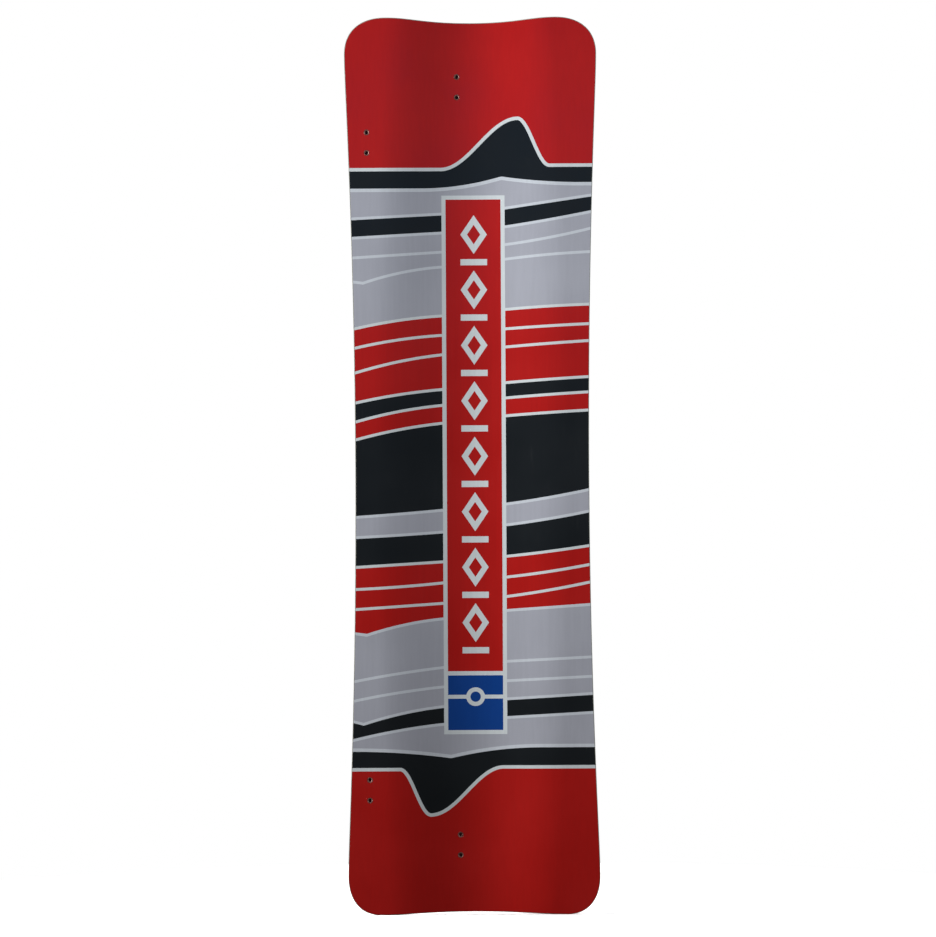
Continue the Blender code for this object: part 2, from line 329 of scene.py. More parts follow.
def half_end(end, inset):
    """The right half of one end of the outline, from its middle: (point, handle before, after)."""
    half_width = HALF_WIDTH - inset
    tip = end["sign"] * (HALF_LENGTH - inset)
    side = end["sign"] * (HALF_LENGTH - end["along"])
    peak = HALF_WIDTH - end["across"]
    middle = np.array([0, tip - end["sign"] * end["dip"]])
    corner_start = np.array([peak, tip])
    corner_end = np.array([half_width, side])
    into_dip = np.array([DIP_FULLNESS * peak, 0])
    onto_peak = np.array([PEAK_FULLNESS * peak, 0])
    across_corner = np.array([CORNER_FULLNESS * (half_width - peak), 0])
    along_corner = np.array([0, CORNER_FULLNESS * (tip - side)])
    down_side = np.array([0, SIDE_FULLNESS * side])
    return [
        (middle, middle - into_dip, middle + into_dip),
        (corner_start, corner_start - onto_peak, corner_start + across_corner),
        (corner_end, corner_end + along_corner, corner_end - down_side),
    ]


def outline(inset):
    """The board's outline, moved in by the inset: points clockwise from the middle of the nose."""
    nose = half_end(NOSE, inset)
    tail = [(point, after, before) for point, before, after in reversed(half_end(TAIL, inset))]
    waist = np.array([HALF_WAIST - inset, 0])
    handle = np.array([0, WAIST_FULLNESS * HALF_LENGTH])
    knots = [*nose, (waist, waist + handle, waist - handle), *tail]
    pieces = [
        bezier(start, after, before, end)
        for (start, _, after), (end, before, _) in zip(knots, knots[1:])
    ]
    right = np.vstack([*pieces, knots[-1][0]])
    left = right[-2:0:-1] * [-1, 1]
    return np.vstack([right, left])


def inside(polygon, points):
    """Which of the points lie inside the polygon, by counting the edges to their right."""
    x, z = points[:, 0, None], points[:, 1, None]
    start, end = polygon, np.roll(polygon, -1, axis=0)
    spans = (start[:, 1] > z) != (end[:, 1] > z)
    rise = np.where(end[:, 1] == start[:, 1], 1, end[:, 1] - start[:, 1])
    crossing = start[:, 0] + (z - start[:, 1]) * (end[:, 0] - start[:, 0]) / rise
    return np.logical_and(spans, x < crossing).sum(axis=1) % 2 == 1


# --- Artwork --------------------------------------------------------------------------------------


class Line:
    """A printed line: its lower and upper edge at each of its xs, and its ink."""

    def __init__(self, ink, width, xs, heights):
        slope = np.gradient(heights, xs)
        half = width / 2 * np.sqrt(1 + slope**2)
        self.ink = INKS.index(ink)
        self.xs = xs * MM
        self.low = (heights - half) * MM
        self.high = (heights + half) * MM

    def edges(self):
        return [np.stack([self.xs, edge], axis=1) for edge in (self.low, self.high)]

    def above(self, x, z):
        """Where the points lie above the line."""
        return z > np.interp(x, self.xs, self.high)

    def over(self, x, z):
        """Where the points lie on the line or above it."""
        return z > np.interp(x, self.xs, self.low)


def steps(start, end, step=ARTWORK_STEP):
    """Even places from start to end, about a step apart."""
    return np.linspace(start, end, max(2, round(abs(end - start) / step) + 1))


def past_start(xs, heights, reach):
    """The line with its first stretch run straight on, to x = reach."""
    slope = (heights[1] - heights[0]) / (xs[1] - xs[0])
    return np.insert(xs, 0, reach), np.insert(heights, 0, heights[0] + slope * (reach - xs[0]))


def past_end(xs, heights, reach):
    """The line with its last stretch run straight on, to x = reach."""
    slope = (heights[-1] - heights[-2]) / (xs[-1] - xs[-2])
    return np.append(xs, reach), np.append(heights, heights[-1] + slope * (reach - xs[-1]))


def stack(lines, left, right):
    """The lines beside the panel, between two xs, each run on past the board's edge."""
    made = []
    for ink, at_left, at_right, bow, kink in lines:
        start_x, start_z = kink or (left, at_left)
        xs = steps(start_x, right)
        share = (xs - start_x) / (right - start_x)
        heights = start_z + (at_right - start_z) * share + 4 * bow * share * (1 - share)
        if kink:
            xs, heights = np.insert(xs, 0, left), np.insert(heights, 0, at_left)
        if left == PRINT_LEFT:
            xs, heights = past_start(xs, heights, left - PAST_EDGE)
        else:
            xs, heights = past_end(xs, heights, right + PAST_EDGE)
        made.append(Line(ink, LINE_WIDTH, xs, heights))
    return made


def hill(shape):
    """A line with one smooth hill in it, level to either side."""
    xs = steps(-LINE_REACH, LINE_REACH, HILL_STEP)
    feet = (shape["x"] - shape["left"], shape["x"] + shape["right"])
    past_top = xs - shape["x"]
    reach = np.where(past_top < 0, -past_top / shape["left"], past_top / shape["right"])
    rise = (1 + np.cos(np.pi * np.clip(reach, 0, 1))) / 2
    return xs, np.interp(xs, feet, shape["levels"]) + shape["height"] * rise


def peak(shape):
    """A line that sweeps up to a sharp peak from either side."""
    xs = steps(-LINE_REACH, LINE_REACH)
    left_level, right_level = shape["levels"]
    left = np.clip(1 - (shape["x"] - xs) / shape["left"], 0, 1)
    right = np.clip(1 - (xs - shape["x"]) / shape["right"], 0, 1)
    from_left = left_level + (shape["top"] - left_level) * left**2
    from_right = right_level + (shape["top"] - right_level) * right**2
    return xs, np.where(xs < shape["x"], from_left, from_right)


def rectangle(left, right, bottom, top):
    return np.array([(left, bottom), (right, bottom), (right, top), (left, top)]) * MM


def circle(x, z, radius, count):
    """A polygon with this many corners on a circle."""
    turn = np.linspace(0, 2 * np.pi, count, endpoint=False)
    return np.stack([x + radius * np.cos(turn), z + radius * np.sin(turn)], axis=1)


def lozenge(x, z, size):
    """A lozenge at a size from 0 to 1 of the whole one."""
    across, along = size * MARK_HALF_WIDTH, size * LOZENGE_HALF_HEIGHT
    return np.array([(x - across, z), (x, z - along), (x + across, z), (x, z + along)]) * MM


def mark(z):
    """An open lozenge with a bar under it."""
    left, right = MARK_X - MARK_HALF_WIDTH, MARK_X + MARK_HALF_WIDTH
    bar_z = z - BAR_DROP
    return [
        (lozenge(MARK_X, z, 1), "white"),
        (lozenge(MARK_X, z, LOZENGE_HOLE), "red"),
        (rectangle(left, right, bar_z - BAR_HALF_HEIGHT, bar_z + BAR_HALF_HEIGHT), "white"),
    ]


def badge(left, right):
    """A ring on a bar that crosses the blue field."""
    middle = (left + right) / 2
    return [
        (rectangle(left, right, BADGE_Z - BADGE_BAR, BADGE_Z + BADGE_BAR), "white"),
        (circle(middle, BADGE_Z, BADGE_RADIUS, HOLE_STEPS) * MM, "white"),
        (circle(middle, BADGE_Z, BADGE_HOLE, HOLE_STEPS) * MM, "blue"),
    ]


def panel_shapes():
    """The panel's shapes as (outline, ink), each printed over the ones before it."""
    left, right = PANEL_LEFT + PANEL_FRAME, PANEL_RIGHT - PANEL_FRAME
    shapes = [
        (rectangle(PANEL_LEFT, PANEL_RIGHT, PANEL_BOTTOM, PANEL_TOP), "white"),
        (rectangle(left, right, PANEL_BAR_TOP, PANEL_TOP - PANEL_FRAME), "red"),
        (rectangle(left, right, PANEL_BOTTOM + PANEL_FRAME, PANEL_BAR_BOTTOM), "blue"),
    ]
    for number in range(MARK_COUNT):
        shapes += mark(MARK_TOP - number * MARK_PITCH)
    return shapes + badge(left, right)


class BasePrint:
    """The print on the base: its edges, and the ink at any point."""

    def __init__(self):
        self.left = stack(LEFT_LINES, PRINT_LEFT, PANEL_LEFT)
        self.right = stack(RIGHT_LINES, PANEL_RIGHT, PRINT_RIGHT)
        self.nose = [
            Line("white", BAND_LINE, *hill(NOSE_HILL)),
            Line("pale", BAND_LINE, *peak(NOSE_PEAK)),
        ]
        self.tail = [
            Line("pale", BAND_LINE, *peak(TAIL_PEAK)),
            Line("white", BAND_LINE, *hill(TAIL_HILL)),
        ]
        self.panel = panel_shapes()

    def paths(self):
        lines = [*self.left, *self.right, *self.nose, *self.tail]
        return [edge for line in lines for edge in line.edges()]

    def loops(self):
        return [shape for shape, _ in self.panel]

    def ink(self, points):
        x, z = points[:, 0], points[:, 1]
        beside_left = layered(self.left, FIELDS, x, z)
        beside_right = layered(self.right, FIELDS, x, z)
        inks = np.where(x < (PANEL_LEFT + PANEL_RIGHT) / 2 * MM, beside_left, beside_right)
        for shape, ink in self.panel:
            inks[inside(shape, points)] = INKS.index(ink)
        grey = self.nose[1].over(x, z)
        inks[grey] = layered(self.nose, ("red", "dark", "grey"), x, z)[grey]
        below = ~self.tail[0].above(x, z)
        inks[below] = layered(self.tail, ("grey", "dark", "red"), x, z)[below]
        return inks


class DeckPrint:
    """The print on the deck: straight lines across it, the same at nose and tail."""

    def __init__(self):
        xs = np.array([-LINE_REACH, LINE_REACH], float)
        self.lines = [Line(ink, LINE_WIDTH, xs, np.full(2, float(z))) for z, ink in DECK_LINES]

    def paths(self):
        edges = [edge for line in self.lines for edge in line.edges()]
        return edges + [edge * [1, -1] for edge in edges]

    def loops(self):
        return []

    def ink(self, points):
        return layered(self.lines, DECK_FIELDS, points[:, 0], np.abs(points[:, 1]))


class Bare:
    """No print: the layer has one look all over."""

    def paths(self):
        return []

    def loops(self):
        return []

    def ink(self, points):
        return np.zeros(len(points), int)


def layered(lines, fields, x, z):
    """The ink at each point, given lines from the top down and the fields above, between, below."""
    inks = np.full(len(x), INKS.index(fields[0]))
    for line, field in zip(lines, fields[1:]):
        inks[~line.above(x, z)] = line.ink
        inks[~line.over(x, z)] = INKS.index(field)
    return inks


# --- Layers ---------------------------------------------------------------------------------------


def grid_points(low, high):
    """Points that let a flat layer bend, over a box."""
    xs = np.arange(low[0], high[0], GRID_ACROSS)
    zs = np.arange(low[1], high[1], GRID_ALONG)
    x, z = np.meshgrid(xs, zs)
    return np.stack([x.ravel(), z.ravel()], axis=1)


def divided(line, closed):
    """The line with points added, so that it can bend as finely as the grid."""
    ends = np.roll(line, -1, axis=0) if closed else line[1:]
    pieces = []
    for start, end in zip(line, ends):
        count = max(math.ceil(np.linalg.norm(end - start) / GRID_ACROSS), 1)
        shares = np.linspace(0, 1, count, endpoint=False)[:, None]
        pieces.append(start + (end - start) * shares)
    return np.vstack(pieces if closed else [*pieces, line[-1:]])


def flat_mesh(loops, paths, points):
    """Vertices and triangles, in the plane, that hold every given line as edges."""
    verts, edges = [], []
    for line, closed in [(loop, True) for loop in loops] + [(path, False) for path in paths]:
        first = len(verts)
        verts.extend(divided(line, closed))
        edges += [(i, i + 1) for i in range(first, len(verts) - 1)]
        if closed:
            edges.append((len(verts) - 1, first))
    verts.extend(points)
    made = delaunay_2d_cdt([Vector(v) for v in verts], edges, [], 0, SAME_POINT, False)
    return np.array([tuple(v) for v in made[0]]), np.array([tuple(f) for f in made[2]])


def boundary(triangles):
    """The directed edges that only one triangle has."""
    ends = np.concatenate([triangles[:, [0, 1]], triangles[:, [1, 2]], triangles[:, [2, 0]]])
    known = {(a, b) for a, b in ends.tolist()}
    return np.array([(a, b) for a, b in ends.tolist() if (b, a) not in known])


def wall_normals(near, far, edges):
    """A normal for each end of each wall, shared by two walls that meet at a shallow angle."""
    along = near[edges[:, 1]] - near[edges[:, 0]]
    across = far[edges[:, 0]] - near[edges[:, 0]]
    face = unit(np.cross(across, along))
    total = np.zeros_like(near)
    np.add.at(total, edges[:, 0], face)
    np.add.at(total, edges[:, 1], face)
    total = unit(total)
    shallow = math.cos(math.radians(SMOOTH_WALL))
    return [
        np.where((total[ends] * face).sum(axis=1, keepdims=True) > shallow, total[ends], face)
        for ends in (edges[:, 0], edges[:, 1])
    ]


def cut_sheet(loops, keep, artwork):
    """The sheet while it is flat: its points, its triangles, and each triangle's ink."""
    corners = np.vstack(loops)
    points = grid_points(corners.min(axis=0), corners.max(axis=0))
    verts, triangles = flat_mesh([*loops, *artwork.loops()], artwork.paths(), points)
    centres = verts[triangles].mean(axis=1)
    kept = keep(centres)
    used, compact = np.unique(triangles[kept], return_inverse=True)
    return verts[used], compact.reshape(-1, 3), artwork.ink(centres[kept])


def layer(name, loops, keep, artwork, near, far, looks, wall_look):
    """A sheet of the board between two surfaces, of which near is the one towards the base. keep
    says which points of the plane it covers."""
    points, triangles, inks = cut_sheet(loops, keep, artwork)
    x, z = points.T
    near_verts = np.stack([x, near(x, z), z], axis=1)
    far_verts = np.stack([x, far(x, z), z], axis=1)
    edges = boundary(triangles)
    starts, ends = edges.T
    count = len(points)
    walls = np.stack([starts, starts + count, ends + count, ends], axis=1)
    faces = [*triangles.tolist(), *(triangles[:, ::-1] + count).tolist(), *walls.tolist()]
    mesh = bpy.data.meshes.new(name)
    mesh.from_pydata(np.vstack([near_verts, far_verts]).tolist(), [], faces)
    for look in [*looks, wall_look]:
        mesh.materials.append(look)
    slots = np.concatenate([inks, inks, np.full(len(walls), len(looks))])
    mesh.polygons.foreach_set("material_index", slots.astype(np.int32))
    at_starts, at_ends = wall_normals(near_verts, far_verts, edges)
    corner_normals = [
        -surface_normals(near, x, z)[triangles].reshape(-1, 3),
        surface_normals(far, x, z)[triangles[:, ::-1]].reshape(-1, 3),
        np.stack([at_starts, at_starts, at_ends, at_ends], axis=1).reshape(-1, 3),
    ]
    mesh.polygons.foreach_set("use_smooth", np.ones(len(faces), bool))
    mesh.normals_split_custom_set(np.concatenate(corner_normals).tolist())
    return show(bpy.data.objects.new(name, mesh))


def show(obj):
    bpy.context.scene.collection.objects.link(obj)
    return obj


def stands_for(piece, node):
    """The piece rides on the board and is seen in place of the node."""
    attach(piece, ROOT)
    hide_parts(node)


def hole_centres(nodes):
    """The (x, z) of each round node's middle."""
    boxes = [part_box(node) for node in nodes]
    return [((low.x + high.x) / 2, (low.z + high.z) / 2) for low, high in boxes]


def holes(nodes, radius):
    """A round cut about each node's middle."""
    return [circle(x, z, radius, HOLE_STEPS) for x, z in hole_centres(nodes)]


def within(shapes, cuts):
    """A test for points inside every shape and outside every cut."""

    def keep(points):
        kept = np.ones(len(points), bool)
        for shape in shapes:
            kept &= inside(shape, points)
        for cut in cuts:
            kept &= ~inside(cut, points)
        return kept

    return keep


def base_sheet(looks):
    shape = outline(BASE_SHEET_INSET)
    cuts = holes(FIN_BUSHES, BUSH_FLANGE + GLUE)
    inks = [looks[ink] for ink in INKS]
    piece = layer(
        "base_print", [shape, *cuts], within([shape], cuts), BasePrint(),
        under_base(0), under_base(SHEET), inks, looks["film_edge"],
    )
    stands_for(piece, "base_sheet")


def deck_sheet(looks):
    """The deck's printed sheet. Its grey is darker and rougher than the base's."""
    shape = outline(DECK_SHEET_INSET)
    cuts = holes(INSERTS, INSERT_FLANGE + GLUE)
    inks = [looks["deck_grey" if ink == "grey" else ink] for ink in INKS]
    piece = layer(
        "deck_print", [shape, *cuts], within([shape], cuts), DeckPrint(),
        under_deck(SHEET), under_deck(0), inks, looks["film_edge"],
    )
    stands_for(piece, "deck_sheet")


def body_cuts():
    """The holes that the bodies of the bushes and of the inserts stand in."""
    return holes(FIN_BUSHES, BUSH_SLEEVE + GLUE), holes(INSERTS, INSERT_BODY + GLUE)


def laminate(node, inset, cuts, near, far, look):
    shape = outline(inset)
    piece = layer(
        node + "_weave", [shape, *cuts], within([shape], cuts), Bare(), near, far, [look], look
    )
    stands_for(piece, node)


def laminates(looks):
    """The glass laminates under both sheets, cut for the bodies of the hardware."""
    top, bottom = LAMINATE_DEPTH, LAMINATE_DEPTH + LAMINATE
    bush_cuts, insert_cuts = body_cuts()
    laminate(
        "base_laminate", 0, bush_cuts, under_base(top), under_base(bottom), looks["glass"]
    )
    laminate(
        "deck_laminate", DECK_LAMINATE_INSET, insert_cuts,
        under_deck(bottom), under_deck(top), looks["glass"],
    )


def strip_sides(node):
    """The strip's x range. The outer two run on, and the inner edge of the rails cuts them."""
    low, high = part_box(node)
    left = -HALF_WIDTH if node == CORE_STRIPS[0] else low.x
    right = HALF_WIDTH if node == CORE_STRIPS[-1] else high.x
    return left, right


def core(looks):
    """The wood strips between the rails, pale and dark by turns."""
    shape = outline(RAIL_WIDTH + GLUE)
    bush_cuts, insert_cuts = body_cuts()
    for number, node in enumerate(CORE_STRIPS):
        left, right = strip_sides(node)
        low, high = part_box(node)
        strip = np.array([(left, low.z), (right, low.z), (right, high.z), (left, high.z)])
        cuts = [
            cut
            for cut in bush_cuts + insert_cuts
            if left < cut[:, 0].min() and cut[:, 0].max() < right
        ]
        shade = "dark" if number % 2 else "pale"
        look = looks["wood_" + shade]
        piece = layer(
            node + "_wood", [shape, strip, *cuts], within([shape, strip], cuts), Bare(),
            under_base(CORE_DEPTH), under_deck(CORE_DEPTH), [look], look,
        )
        stands_for(piece, node)


# --- Rails ----------------------------------------------------------------------------------------


def rail_profile():
    """(how far in from the outline, share of the way from base side to deck side), clockwise."""
    turns = np.linspace(0, math.pi / 2, RAIL_ROUND_STEPS)
    base_side = [
        (RAIL_ROUND * (1 - math.sin(a)), RAIL_ROUND_SHARE * (1 - math.cos(a))) for a in turns
    ]
    return [*base_side, *RAIL_BEVEL, (RAIL_WIDTH, 1), (RAIL_WIDTH, 0)]


def rail_path():
    """Half of the outline, from nose to tail, and the direction inwards at each of its points."""
    points = outline(0)
    tangents = unit(np.roll(points, -1, axis=0) - np.roll(points, 1, axis=0))
    inwards = np.stack([tangents[:, 1], -tangents[:, 0]], axis=1)
    half = len(points) // 2 + 1
    return points[:half], inwards[:half]


def swept_faces(around, along):
    """The faces of a closed bar, whose points are numbered round each ring and ring by ring."""
    faces = []
    for first in range(0, (along - 1) * around, around):
        for j in range(around):
            k = (j + 1) % around
            faces.append((first + j, first + k, first + around + k, first + around + j))
    last = (along - 1) * around
    return [*faces, tuple(range(around)), tuple(reversed(range(last, last + around)))]


def shaded(made, name, look, sharp):
    """The bmesh as a shown object, smooth but for edges sharper than an angle in degrees."""
    bmesh.ops.recalc_face_normals(made, faces=made.faces)
    mesh = bpy.data.meshes.new(name)
    made.to_mesh(mesh)
    made.free()
    mesh.materials.append(look)
    mesh.shade_smooth()
    mesh.set_sharp_from_angle(angle=math.radians(sharp))
    return show(bpy.data.objects.new(name, mesh))


def rail(name, sign, look):
    """One rail: a section swept round half of the outline, from nose to tail."""
    points, inwards = rail_path()
    section = rail_profile()
    near, far = under_base(CORE_DEPTH), under_deck(CORE_DEPTH)
    edges_along = []
    for inset, share in section:
        x, z = (points + inwards * inset).T
        x = np.maximum(x, GLUE / 2)
        y = near(x, z) * (1 - share) + far(x, z) * share
        edges_along.append(np.stack([sign * x, y, z], axis=1))
    made = bmesh.new()
    verts = [made.verts.new(v) for v in np.stack(edges_along, axis=1).reshape(-1, 3)]
    for corners in swept_faces(len(section), len(points)):
        made.faces.new([verts[i] for i in corners])
    return shaded(made, name, look, SMOOTH_RAIL)


def rails(looks):
    for node, sign in (("rail_left", -1), ("rail_right", 1)):
        stands_for(rail(node + "_strip", sign, looks["rail"]), node)


# --- Hardware -------------------------------------------------------------------------------------


def seat(surface, x, z, outward):
    """A frame on a surface. Its Z axis is the normal on the side that outward, +1 or -1, gives."""
    x, z = np.array([x]), np.array([z])
    normal = outward * Vector(surface_normals(surface, x, z)[0])
    turn = normal.to_track_quat("Z", "X").to_matrix().to_4x4()
    return Matrix.Translation((x[0], surface(x, z)[0], z[0])) @ turn


def ring(made, radius, height):
    """Vertices on a circle round the Z axis, or one vertex on the axis."""
    turns = [2 * math.pi * i / TURNED_STEPS for i in range(TURNED_STEPS if radius else 1)]
    return [made.verts.new((radius * math.cos(a), radius * math.sin(a), height)) for a in turns]


def turned(name, profile, place, look):
    """A profile of (radius, height), from axis to axis, turned round the place's Z axis."""
    made = bmesh.new()
    rings = [ring(made, radius, height) for radius, height in profile]
    for first, second in zip(rings, rings[1:]):
        for i in range(TURNED_STEPS):
            j = (i + 1) % TURNED_STEPS
            ends = ((first, i), (first, j), (second, j), (second, i))
            corners = dict.fromkeys(verts[k % len(verts)] for verts, k in ends)
            made.faces.new(list(corners))
    bmesh.ops.transform(made, matrix=place, verts=made.verts)
    return shaded(made, name, look, SMOOTH_TURNED)


def thread(radius, top, bottom):
    """The walls of a threaded bore, turn by turn from top to bottom."""
    walls = []
    for number in range(round((top - bottom) / THREAD_PITCH)):
        start = top - number * THREAD_PITCH
        walls += [(radius + into, start - share * THREAD_PITCH) for into, share in THREAD_TURN]
    return walls


def threaded_cup(bore, body, flange, depth):
    """The profile of a blind threaded insert: a flange with eased edges, and a countersunk bore."""
    floor = HARDWARE_FLOOR - depth
    return [
        (0, -depth),
        (body - FLANGE_EASE, -depth),
        (body, FLANGE_EASE - depth),
        (body, -SHEET),
        (flange, -SHEET),
        (flange, -FLANGE_EASE),
        (flange - FLANGE_EASE, 0),
        (bore + BORE_MOUTH, 0),
        (bore, -BORE_MOUTH),
        *thread(bore, -BORE_MOUTH, floor + THREAD_DEPTH),
        (0, floor),
    ]


def turned_set(nodes, surface, outward, profile, look):
    """One turned piece for each node, seated where the node is."""
    for node, (x, z) in zip(nodes, hole_centres(nodes)):
        place = seat(surface, x, z, outward)
        stands_for(turned(node + "_turned", profile, place, look), node)


def hardware(looks):
    """The fin bushes in the base and the binding inserts in the deck."""
    bush = threaded_cup(BUSH_BORE, BUSH_SLEEVE, BUSH_FLANGE, BUSH_DEPTH)
    insert = threaded_cup(INSERT_THREAD, INSERT_BODY, INSERT_FLANGE, INSERT_DEPTH)
    turned_set(FIN_BUSHES, under_base(0), -1, bush, looks["bush_metal"])
    turned_set(INSERTS, under_deck(0), 1, insert, looks["insert_steel"])


# --- Materials ------------------------------------------------------------------------------------


class Look:
    """A material under construction: its nodes, and short ways to add and join them."""

    def __init__(self, name):
        self.material = bpy.data.materials.new(name)
        self.material.use_nodes = True
        self.tree = self.material.node_tree
        self.shader = self.tree.nodes["Principled BSDF"]
        coords = self.tree.nodes.new("ShaderNodeTexCoord")
        self.position = coords.outputs["Object"]

    def node(self, kind, **inputs):
        """A node, with inputs set to values or joined to sockets."""
        made = self.tree.nodes.new("ShaderNode" + kind)
        for name, value in inputs.items():
            self.put(made.inputs[name], value)
        return made

    def put(self, socket, value):
        if isinstance(value, bpy.types.NodeSocket):
            self.tree.links.new(value, socket)
        else:
            socket.default_value = value

    def math(self, operation, *values):
        made = self.tree.nodes.new("ShaderNodeMath")
        made.operation = operation
        for socket, value in zip(made.inputs, values):
            self.put(socket, value)
        return made.outputs[0]

    def noise(self, scale, detail=3.0, roughness=0.5, stretch=(1, 1, 1)):
        """Noise from 0 to 1 over the board, with features about one over the scale in metres."""
        scales = tuple(scale * share for share in stretch)
        place = self.node("Mapping", Vector=self.position, Scale=scales).outputs[0]
        made = self.node("TexNoise", Vector=place, Scale=1.0, Detail=detail, Roughness=roughness)
        return made.outputs["Fac"]

    def between(self, value, low, high, to_low, to_high):
        """The value moved from one range to another, and kept inside it."""
        made = self.tree.nodes.new("ShaderNodeMapRange")
        for number, item in enumerate((value, low, high, to_low, to_high)):
            self.put(made.inputs[number], item)
        return made.outputs[0]

    def spread(self, noise, to_low, to_high):
        """Noise moved from its usual range to another."""
        return self.between(noise, *NOISE_RANGE, to_low, to_high)

    def scaled(self, colour, factor):
        """A colour made brighter or darker by a factor."""
        made = self.tree.nodes.new("ShaderNodeVectorMath")
        made.operation = "SCALE"
        self.put(made.inputs[0], colour[:3] if isinstance(colour, tuple) else colour)
        self.put(made.inputs["Scale"], factor)
        return made.outputs[0]

    def mixed(self, factor, first, second):
        """Two colours mixed. A Mix node's colour sockets follow those for numbers and vectors."""
        made = self.tree.nodes.new("ShaderNodeMix")
        made.data_type = "RGBA"
        self.put(made.inputs["Factor"], factor)
        self.put(made.inputs[6], first)
        self.put(made.inputs[7], second)
        return made.outputs[2]

    def bump(self, height, distance, strength=1.0):
        made = self.node("Bump", Height=height, Distance=distance, Strength=strength)
        self.put(self.shader.inputs["Normal"], made.outputs[0])

    def finish(self, **inputs):
        for key, value in inputs.items():
            self.put(self.shader.inputs[key.replace("_", " ")], value)
        return self.material


def srgb(red, green, blue):
    """A colour on the usual 0 to 255 scale, as linear light."""

    def linear(value):
        value /= 255
        return value / 12.92 if value <= 0.04045 else ((value + 0.055) / 1.055) ** 2.4

    return (linear(red), linear(green), linear(blue), 1.0)


def film(name, colour, streaks=0.03, roughness=0.38):
    """Printed film: faint streaks along the board, ink grain, hairline scratches, a satin coat."""
    look = Look(name)
    streak = look.noise(260, detail=4, stretch=(1, 1, 0.02))
    cloud = look.noise(9, detail=3)
    grain = look.noise(2600, detail=2)
    scratch = look.between(look.noise(520, detail=1, stretch=(1, 1, 0.03)), 0.70, 0.74, 0, 1)
    tone = look.math("ADD", look.spread(streak, -streaks, streaks), 1.0)
    tone = look.math("ADD", tone, look.spread(cloud, -0.04, 0.04))
    tone = look.math("ADD", tone, look.spread(grain, -0.025, 0.025))
    rough = look.spread(cloud, roughness - 0.04, roughness + 0.05)
    rough = look.math("ADD", rough, look.math("MULTIPLY", scratch, 0.12))
    height = look.math("ADD", look.noise(700, detail=2), look.math("MULTIPLY", scratch, -0.4))
    look.bump(height, 0.02 * MM, 0.6)
    tinted = look.scaled(colour, tone)
    return look.finish(Base_Color=tinted, Roughness=rough, Specular_IOR_Level=0.35)


def glass_laminate():
    """Woven glass in clear resin: a fine plain weave, with the resin pooling unevenly."""
    look = Look("glass_weave")
    axes = look.node("SeparateXYZ", Vector=look.position)
    turns = 2 * math.pi / WEAVE_PITCH
    warp = look.math("SINE", look.math("MULTIPLY", axes.outputs["X"], turns))
    weft = look.math("SINE", look.math("MULTIPLY", axes.outputs["Z"], turns))
    weave = look.between(look.math("MULTIPLY", warp, weft), -1, 1, 0, 1)
    pool = look.noise(60)
    colour = look.mixed(weave, srgb(150, 152, 138), srgb(186, 188, 174))
    colour = look.scaled(colour, look.spread(pool, 0.85, 1.08))
    look.bump(weave, 0.05 * MM, 0.5)
    return look.finish(Base_Color=colour, Roughness=look.spread(pool, 0.25, 0.45))


def rail_plastic():
    """Moulded rail plastic: satin and slightly scuffed along the board."""
    look = Look("rail_plastic_satin")
    scuff = look.noise(420, detail=5, stretch=(1, 1, 0.06))
    cloud = look.noise(25)
    colour = look.mixed(look.between(scuff, 0.35, 0.65, 0, 1), srgb(60, 62, 66), srgb(84, 86, 90))
    colour = look.scaled(colour, look.spread(cloud, 0.9, 1.1))
    look.bump(scuff, 0.08 * MM, 0.5)
    return look.finish(Base_Color=colour, Roughness=look.spread(scuff, 0.38, 0.6))


def wood(name, pale, dark):
    """Sanded core wood: growth rings drawn out along the board, with fine pores."""
    look = Look(name)
    rings = look.noise(90, detail=5, roughness=0.6, stretch=(1, 1, 0.04))
    pores = look.noise(900, detail=2, stretch=(1, 1, 0.03))
    colour = look.mixed(look.between(rings, 0.35, 0.65, 0, 1), pale, dark)
    colour = look.scaled(colour, look.spread(pores, 0.88, 1.06))
    look.bump(pores, 0.05 * MM, 0.6)
    return look.finish(Base_Color=colour, Roughness=look.spread(rings, 0.6, 0.75))


def turned_metal(name, colour, roughness, metallic=1.0):
    """Turned metal with fine marks and a patchy bloom. Oxidised metal has a lower metallic."""
    look = Look(name)
    marks = look.noise(4200, detail=3)
    bloom = look.noise(380, detail=3)
    tinted = look.scaled(colour, look.spread(bloom, 0.78, 1.05))
    look.bump(marks, 0.02 * MM, 0.5)
    rough = look.spread(bloom, roughness - 0.06, roughness + 0.1)
    return look.finish(Base_Color=tinted, Roughness=rough, Metallic=metallic)


def make_looks():
    return {
        "red": film("ink_red", srgb(186, 22, 18)),
        "dark": film("ink_dark", srgb(19, 24, 28), roughness=0.42),
        "grey": film("ink_grey", srgb(178, 180, 190), streaks=0.022),
        "pale": film("ink_pale", srgb(214, 220, 227)),
        "white": film("ink_white", srgb(222, 229, 231)),
        "blue": film("ink_blue", srgb(10, 66, 146)),
        "deck_grey": film("deck_grey", srgb(120, 124, 134), streaks=0.04, roughness=0.45),
        "film_edge": film("film_edge", srgb(150, 140, 140), roughness=0.5),
        "glass": glass_laminate(),
        "rail": rail_plastic(),
        "wood_pale": wood("core_wood_pale_grain", srgb(206, 173, 130), srgb(176, 136, 92)),
        "wood_dark": wood("core_wood_dark_grain", srgb(180, 142, 100), srgb(140, 101, 64)),
        "bush_metal": turned_metal("bush_metal_dull", srgb(146, 98, 90), 0.6, metallic=0.4),
        "insert_steel": turned_metal("insert_steel_dull", srgb(188, 188, 190), 0.32),
    }


# --- Studio ---------------------------------------------------------------------------------------


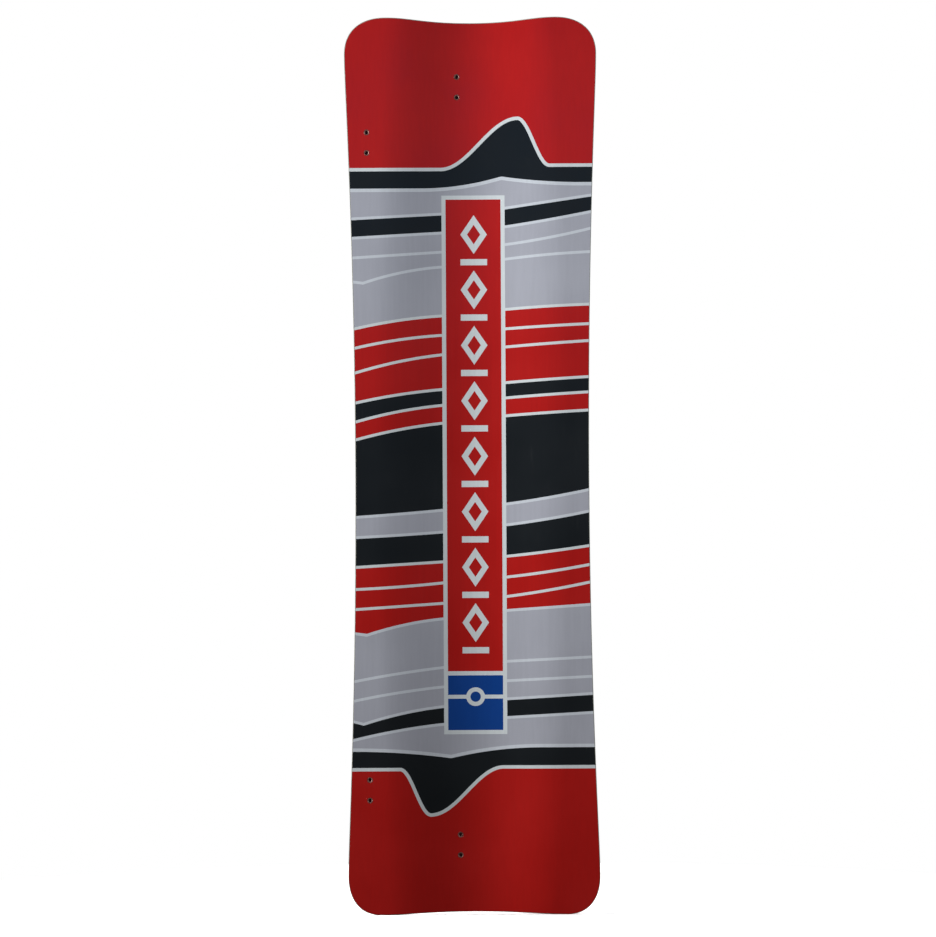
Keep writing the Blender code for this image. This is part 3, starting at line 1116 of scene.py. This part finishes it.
def floor_look():
    """Pale to the camera, dark and warm to the board, which keeps the floor's glow off its tail."""
    look = Look("floor_pale")
    tone = look.spread(look.noise(3), 0.985, 1.01)
    path = look.node("LightPath")
    colour = look.mixed(path.outputs["Is Camera Ray"], srgb(44, 38, 32), srgb(244, 244, 244))
    return look.finish(Base_Color=look.scaled(colour, tone), Roughness=0.9, Specular_IOR_Level=0.1)


def floor():
    """A round slab that the board stands on."""
    centre = Matrix.Translation((0, 0, CAD_BOX[0].z - FLOOR_THICKNESS / 2))
    made = bmesh.new()
    bmesh.ops.create_cone(
        made, cap_ends=True, segments=FLOOR_STEPS, radius1=FLOOR_RADIUS, radius2=FLOOR_RADIUS,
        depth=FLOOR_THICKNESS, matrix=centre,
    )
    mesh = bpy.data.meshes.new("studio_floor")
    made.to_mesh(mesh)
    made.free()
    mesh.materials.append(floor_look())
    show(bpy.data.objects.new("studio_floor", mesh))


def world():
    """White behind the board, and a dimmer grey light from all round."""
    made = bpy.data.worlds.new("studio")
    made.use_nodes = True
    bpy.context.scene.world = made
    tree = made.node_tree
    background = tree.nodes["Background"]
    background.inputs["Color"].default_value = (1, 1, 1, 1)
    path = tree.nodes.new("ShaderNodeLightPath")
    strength = tree.nodes.new("ShaderNodeMapRange")
    strength.inputs["To Min"].default_value = AMBIENT
    strength.inputs["To Max"].default_value = 1.0
    tree.links.new(path.outputs["Is Camera Ray"], strength.inputs["Value"])
    tree.links.new(strength.outputs[0], background.inputs["Strength"])


def softbox(name, place, target, width, height, power, tint=(1, 1, 1)):
    """A rectangular lamp that the camera doesn't see, with its power in watts."""
    lamp = bpy.data.lights.new(name, "AREA")
    lamp.color = tint
    lamp.shape = "RECTANGLE"
    lamp.size = width
    lamp.size_y = height
    lamp.energy = power
    obj = show(bpy.data.objects.new(name, lamp))
    obj.location = place
    obj.visible_camera = False
    obj.rotation_mode = "QUATERNION"
    obj.rotation_quaternion = (Vector(target) - Vector(place)).to_track_quat("-Z", "Y")


def lights():
    """A low key from the left and a soft fill from the right, a top light over floor and deck, a
    cool sky that the nose reflects, and two lights on the deck."""
    softbox("key", (-3.44, -0.27, 0.66), (0, 0, 0), 0.7, 0.7, 505)
    softbox("fill", (2.17, -1.26, 0.67), (0, 0, 0), 1.6, 1.6, 42)
    softbox("top", (0, 1.2, 2.4), (0, 0, -0.7), 2.4, 1.6, 28)
    softbox("sky", (0, -3.6, 1.4), (0, 0, 0.3), 0.8, 0.8, 4, SKY_TINT)
    softbox("back_key", (1.9, 2.4, 1.9), (0, 0, 0), 1.6, 1.6, 66)
    softbox("back_fill", (-2.2, 2.6, 0.6), (0, 0, 0), 1.8, 1.8, 35)


def camera():
    """Square to the base, and far enough off that the board shows almost without perspective."""
    data = bpy.data.cameras.new("camera")
    data.lens = LENS
    data.sensor_width = SENSOR
    obj = show(bpy.data.objects.new("camera", data))
    obj.location = (VIEW_X, ROCKER - VIEW_HEIGHT * LENS / SENSOR, VIEW_Z)
    obj.rotation_euler = (math.pi / 2, VIEW_ROLL, 0)
    bpy.context.scene.camera = obj


def build():
    looks = make_looks()
    base_sheet(looks)
    deck_sheet(looks)
    laminates(looks)
    core(looks)
    rails(looks)
    hardware(looks)
    floor()
    world()
    lights()
    camera()
    bpy.context.scene.view_settings.view_transform = "Standard"


build()
